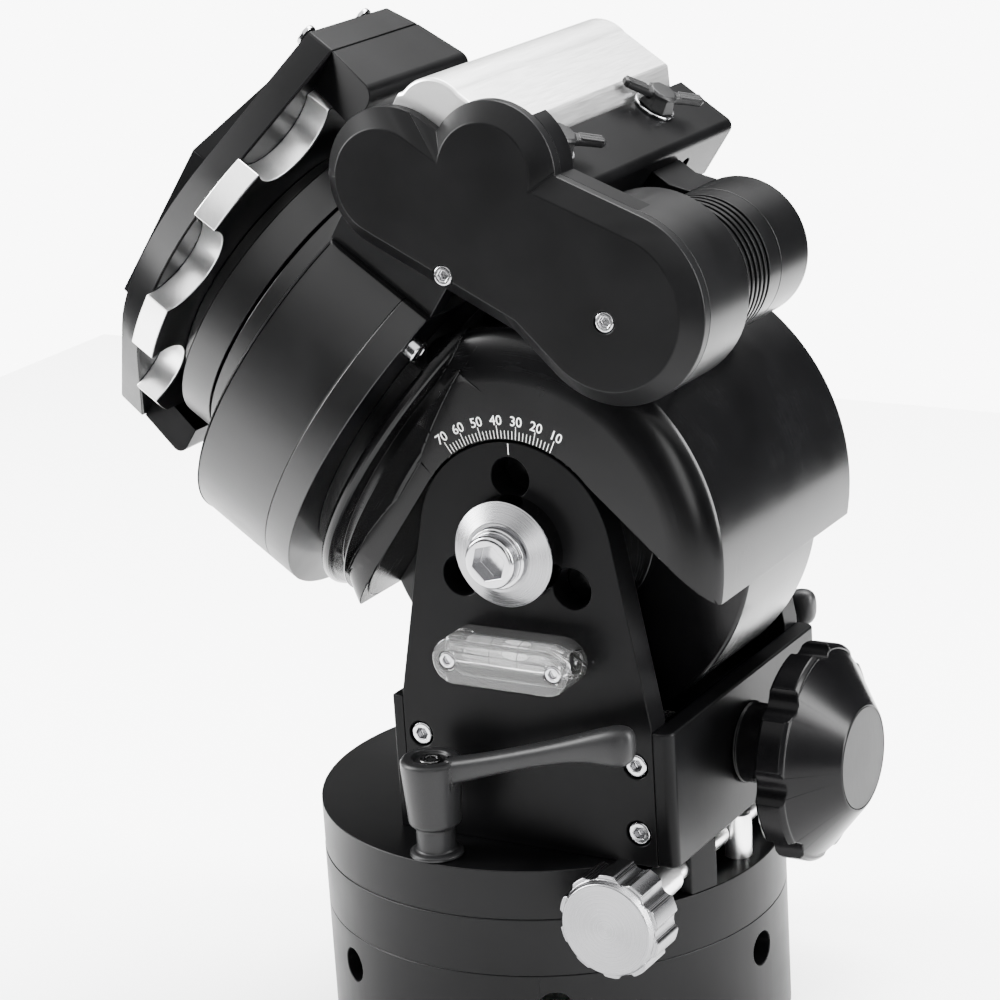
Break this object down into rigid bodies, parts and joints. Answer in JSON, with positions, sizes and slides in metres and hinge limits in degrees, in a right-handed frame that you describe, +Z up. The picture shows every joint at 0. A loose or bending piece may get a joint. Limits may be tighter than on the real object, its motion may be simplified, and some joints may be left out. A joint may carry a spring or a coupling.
{
  "type": "equatorial mount",
  "caption": "Black equatorial telescope mount head: fork on a round pier adapter, tilting polar housing with geared drive and motor, scalloped saddle, levers, knobs and bubble level.",
  "frame": {"origin": "centre of the pier socket's mouth, on the underside of the pier adapter", "axes": "+Z up along the azimuth axis, +X towards the altitude knob, polar axis rises towards -X, -Y is the side with the gear cover and level"},
  "size_m": [0.3415, 0.2222, 0.4409],
  "materials": {
    "black_anodised": "satin black anodised, machined",
    "black_motor": "satin black, turned grooves",
    "circle_black": "gloss black anodised, turned",
    "bare_aluminium": "machined, clear anodised",
    "stainless": "polished socket screws",
    "bearing_steel": "ground",
    "brass": "machined",
    "black_plastic": "fine-textured black",
    "clear_acrylic": "clear polished acrylic",
    "vial_glass": "liquid-filled vial"
  },
  "bodies": {
    "pier": {"pier_adapter": "black_anodised", "adapter_screws": "stainless", "azimuth_ring": "black_anodised", "azimuth_peg": "bare_aluminium", "thrust_bearing": "bearing_steel", "azimuth_pivot_bolt": "bearing_steel"},
    "fork": {"azimuth_base": "black_anodised", "side_plate_near": "black_anodised", "side_plate_far": "black_anodised", "side_plate_screws": "stainless", "front_block": "black_anodised", "rear_brace": "black_anodised", "pivot_bolts": "stainless", "pivot_spacers": "bare_aluminium", "pivot_thrust_washers": "brass", "level_block": "clear_acrylic", "level_vial": "vial_glass", "level_screws": "stainless", "altitude_worm_bushes": "brass"},
    "near_push_screw": {"azimuth_screw_near": "bare_aluminium"},
    "far_push_screw": {"azimuth_screw_far": "bare_aluminium"},
    "near_azimuth_knob": {"azimuth_knob_near": "bare_aluminium"},
    "far_azimuth_knob": {"azimuth_knob_far": "bare_aluminium"},
    "near_lever": {"lock_lever_near": "black_plastic"},
    "far_lever": {"lock_lever_far": "black_plastic"},
    "altitude_drive": {"altitude_knob": "black_anodised", "altitude_worm": "bearing_steel"},
    "polar_housing": {"polar_body": "black_anodised", "ring_flange": "black_anodised", "flange_screws": "stainless", "wheel_housing": "black_anodised", "polar_bearings": "bearing_steel", "worm_block": "bare_aluminium", "worm_bearings": "bearing_steel", "gear_posts": "bearing_steel", "gear_case": "black_anodised", "gear_cover": "black_anodised", "gear_cover_screws": "stainless", "motor": "black_motor", "motor_cap": "black_anodised", "motor_arm": "black_anodised", "motor_bracket": "black_anodised", "wing_washers": "stainless"},
    "polar_axis": {"polar_shaft": "bearing_steel", "shaft_nut": "bearing_steel", "worm_wheel": "brass", "polar_hub": "black_anodised", "saddle_disc": "bare_aluminium", "saddle_plate": "black_anodised", "saddle_end_blocks": "black_anodised", "saddle_screws": "stainless", "declination_plate": "black_anodised"},
    "circle": {"setting_circle": "circle_black"},
    "worm": {"polar_worm": "bearing_steel", "worm_gear": "brass"},
    "idler": {"idler_gear": "brass"},
    "small_gear": {"small_idler": "brass"},
    "pinion": {"motor_pinion": "bearing_steel"},
    "near_wing_knob": {"wing_knob_near": "black_plastic"},
    "far_wing_knob": {"wing_knob_far": "black_plastic"}
  },
  "joints": [
    {"name": "azimuth", "type": "hinge", "parent": "pier", "child": "fork", "pos_m": [0, 0, 0.0854], "axis": [0, 0, 1], "range_deg": [-5, 5]},
    {"name": "near_screw_travel", "type": "slide", "parent": "fork", "child": "near_push_screw", "axis": [0, 1, 0], "range_m": [-0.00805, 0.00805]},
    {"name": "far_screw_travel", "type": "slide", "parent": "fork", "child": "far_push_screw", "axis": [0, 1, 0], "range_m": [-0.00805, 0.00805]},
    {"name": "near_knob_turn", "type": "hinge", "parent": "near_push_screw", "child": "near_azimuth_knob", "pos_m": [0.084, -0.1, 0.0964], "axis": [0, 1, 0], "range_deg": [-1890, 1890]},
    {"name": "far_knob_turn", "type": "hinge", "parent": "far_push_screw", "child": "far_azimuth_knob", "pos_m": [0.084, 0.1, 0.0964], "axis": [0, 1, 0], "range_deg": [-1890, 1890]},
    {"name": "near_lock", "type": "hinge", "parent": "fork", "child": "near_lever", "pos_m": [-0.005, -0.091, 0.1074], "axis": [0, 0, 1], "range_deg": [-75, 0]},
    {"name": "far_lock", "type": "hinge", "parent": "fork", "child": "far_lever", "pos_m": [-0.005, 0.091, 0.1074], "axis": [0, 0, 1], "range_deg": [0, 75]},
    {"name": "altitude", "type": "hinge", "parent": "fork", "child": "polar_housing", "pos_m": [0.0294, 0, 0.2392], "axis": [0, 1, 0], "range_deg": [-24.4, 35.6]},
    {"name": "altitude_knob_turn", "type": "hinge", "parent": "fork", "child": "altitude_drive", "pos_m": [0.1, 0, 0.138], "axis": [1, 0, 0], "range_deg": [-5132, 5132]},
    {"name": "polar_spin", "type": "hinge", "parent": "polar_housing", "child": "polar_axis", "pos_m": [0.02522, 0, 0.23309], "axis": [-0.8251, 0, 0.565], "continuous": true},
    {"name": "circle_slip", "type": "hinge", "parent": "polar_axis", "child": "circle", "pos_m": [-0.0903, 0, 0.31219], "axis": [-0.8251, 0, 0.565], "continuous": true},
    {"name": "worm_spin", "type": "hinge", "parent": "polar_housing", "child": "worm", "pos_m": [-0.01278, 0, 0.39], "axis": [0, 1, 0], "continuous": true},
    {"name": "idler_spin", "type": "hinge", "parent": "polar_housing", "child": "idler", "pos_m": [0.03361, -0.077, 0.39581], "axis": [0, 1, 0], "continuous": true},
    {"name": "small_gear_spin", "type": "hinge", "parent": "polar_housing", "child": "small_gear", "pos_m": [0.05912, -0.077, 0.37229], "axis": [0, 1, 0], "continuous": true},
    {"name": "pinion_spin", "type": "hinge", "parent": "polar_housing", "child": "pinion", "pos_m": [0.07448, -0.077, 0.35813], "axis": [0, 1, 0], "continuous": true},
    {"name": "near_wing_turn", "type": "hinge", "parent": "polar_housing", "child": "near_wing_knob", "pos_m": [0.04587, -0.05, 0.39954], "axis": [0.565, 0, 0.8251], "range_deg": [0, 360]},
    {"name": "far_wing_turn", "type": "hinge", "parent": "polar_housing", "child": "far_wing_knob", "pos_m": [0.04587, 0.038, 0.39954], "axis": [0.565, 0, 0.8251], "range_deg": [0, 360]}
  ],
  "couplings": [
    {"joint": "near_screw_travel", "follows": "azimuth", "m_per_rad": -0.09},
    {"joint": "far_screw_travel", "follows": "azimuth", "m_per_rad": -0.09},
    {"joint": "near_knob_turn", "follows": "azimuth", "ratio": -376.99},
    {"joint": "far_knob_turn", "follows": "azimuth", "ratio": -376.99},
    {"joint": "altitude_knob_turn", "follows": "altitude", "ratio": 144},
    {"joint": "worm_spin", "follows": "polar_spin", "ratio": 180},
    {"joint": "idler_spin", "follows": "polar_spin", "ratio": -176.17},
    {"joint": "small_gear_spin", "follows": "polar_spin", "ratio": 376.36},
    {"joint": "pinion_spin", "follows": "polar_spin", "ratio": -414}
  ]
}
